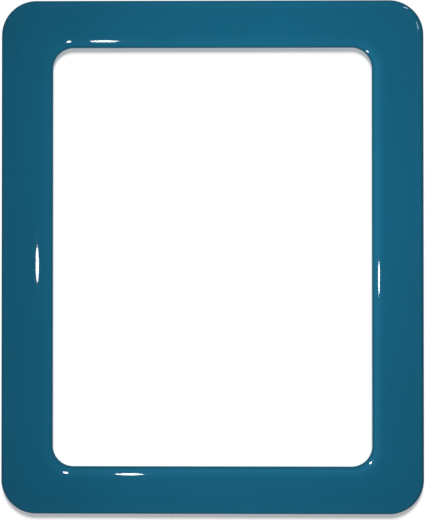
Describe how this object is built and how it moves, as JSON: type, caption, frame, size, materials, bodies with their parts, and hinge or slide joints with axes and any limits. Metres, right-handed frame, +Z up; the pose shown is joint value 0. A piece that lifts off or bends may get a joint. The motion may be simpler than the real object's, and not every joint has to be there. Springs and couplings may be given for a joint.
{
  "type": "magnetic display frame",
  "caption": "Glossy moulded ring with a crowned front and an open window, held to steel by magnet strips on its back, to display a sheet of letter paper.",
  "frame": {"origin": "middle of the frame's bounding box, in the middle of the window", "axes": "+X to the right seen from the front, +Z up as it is hung, the front faces -Y and the magnets face +Y"},
  "size_m": [0.2696, 0.0042, 0.3278],
  "materials": {
    "frame_plastic": "gloss",
    "flexible_magnet": "matte",
    "adhesive_tape": "matte"
  },
  "bodies": {
    "root": {"front_frame": "frame_plastic", "magnet_strip_top": "flexible_magnet", "magnet_strip_bottom": "flexible_magnet", "magnet_strip_left": "flexible_magnet", "magnet_strip_right": "flexible_magnet", "adhesive_tape_top": "adhesive_tape", "adhesive_tape_bottom": "adhesive_tape", "adhesive_tape_left": "adhesive_tape", "adhesive_tape_right": "adhesive_tape"}
  },
  "joints": []
}
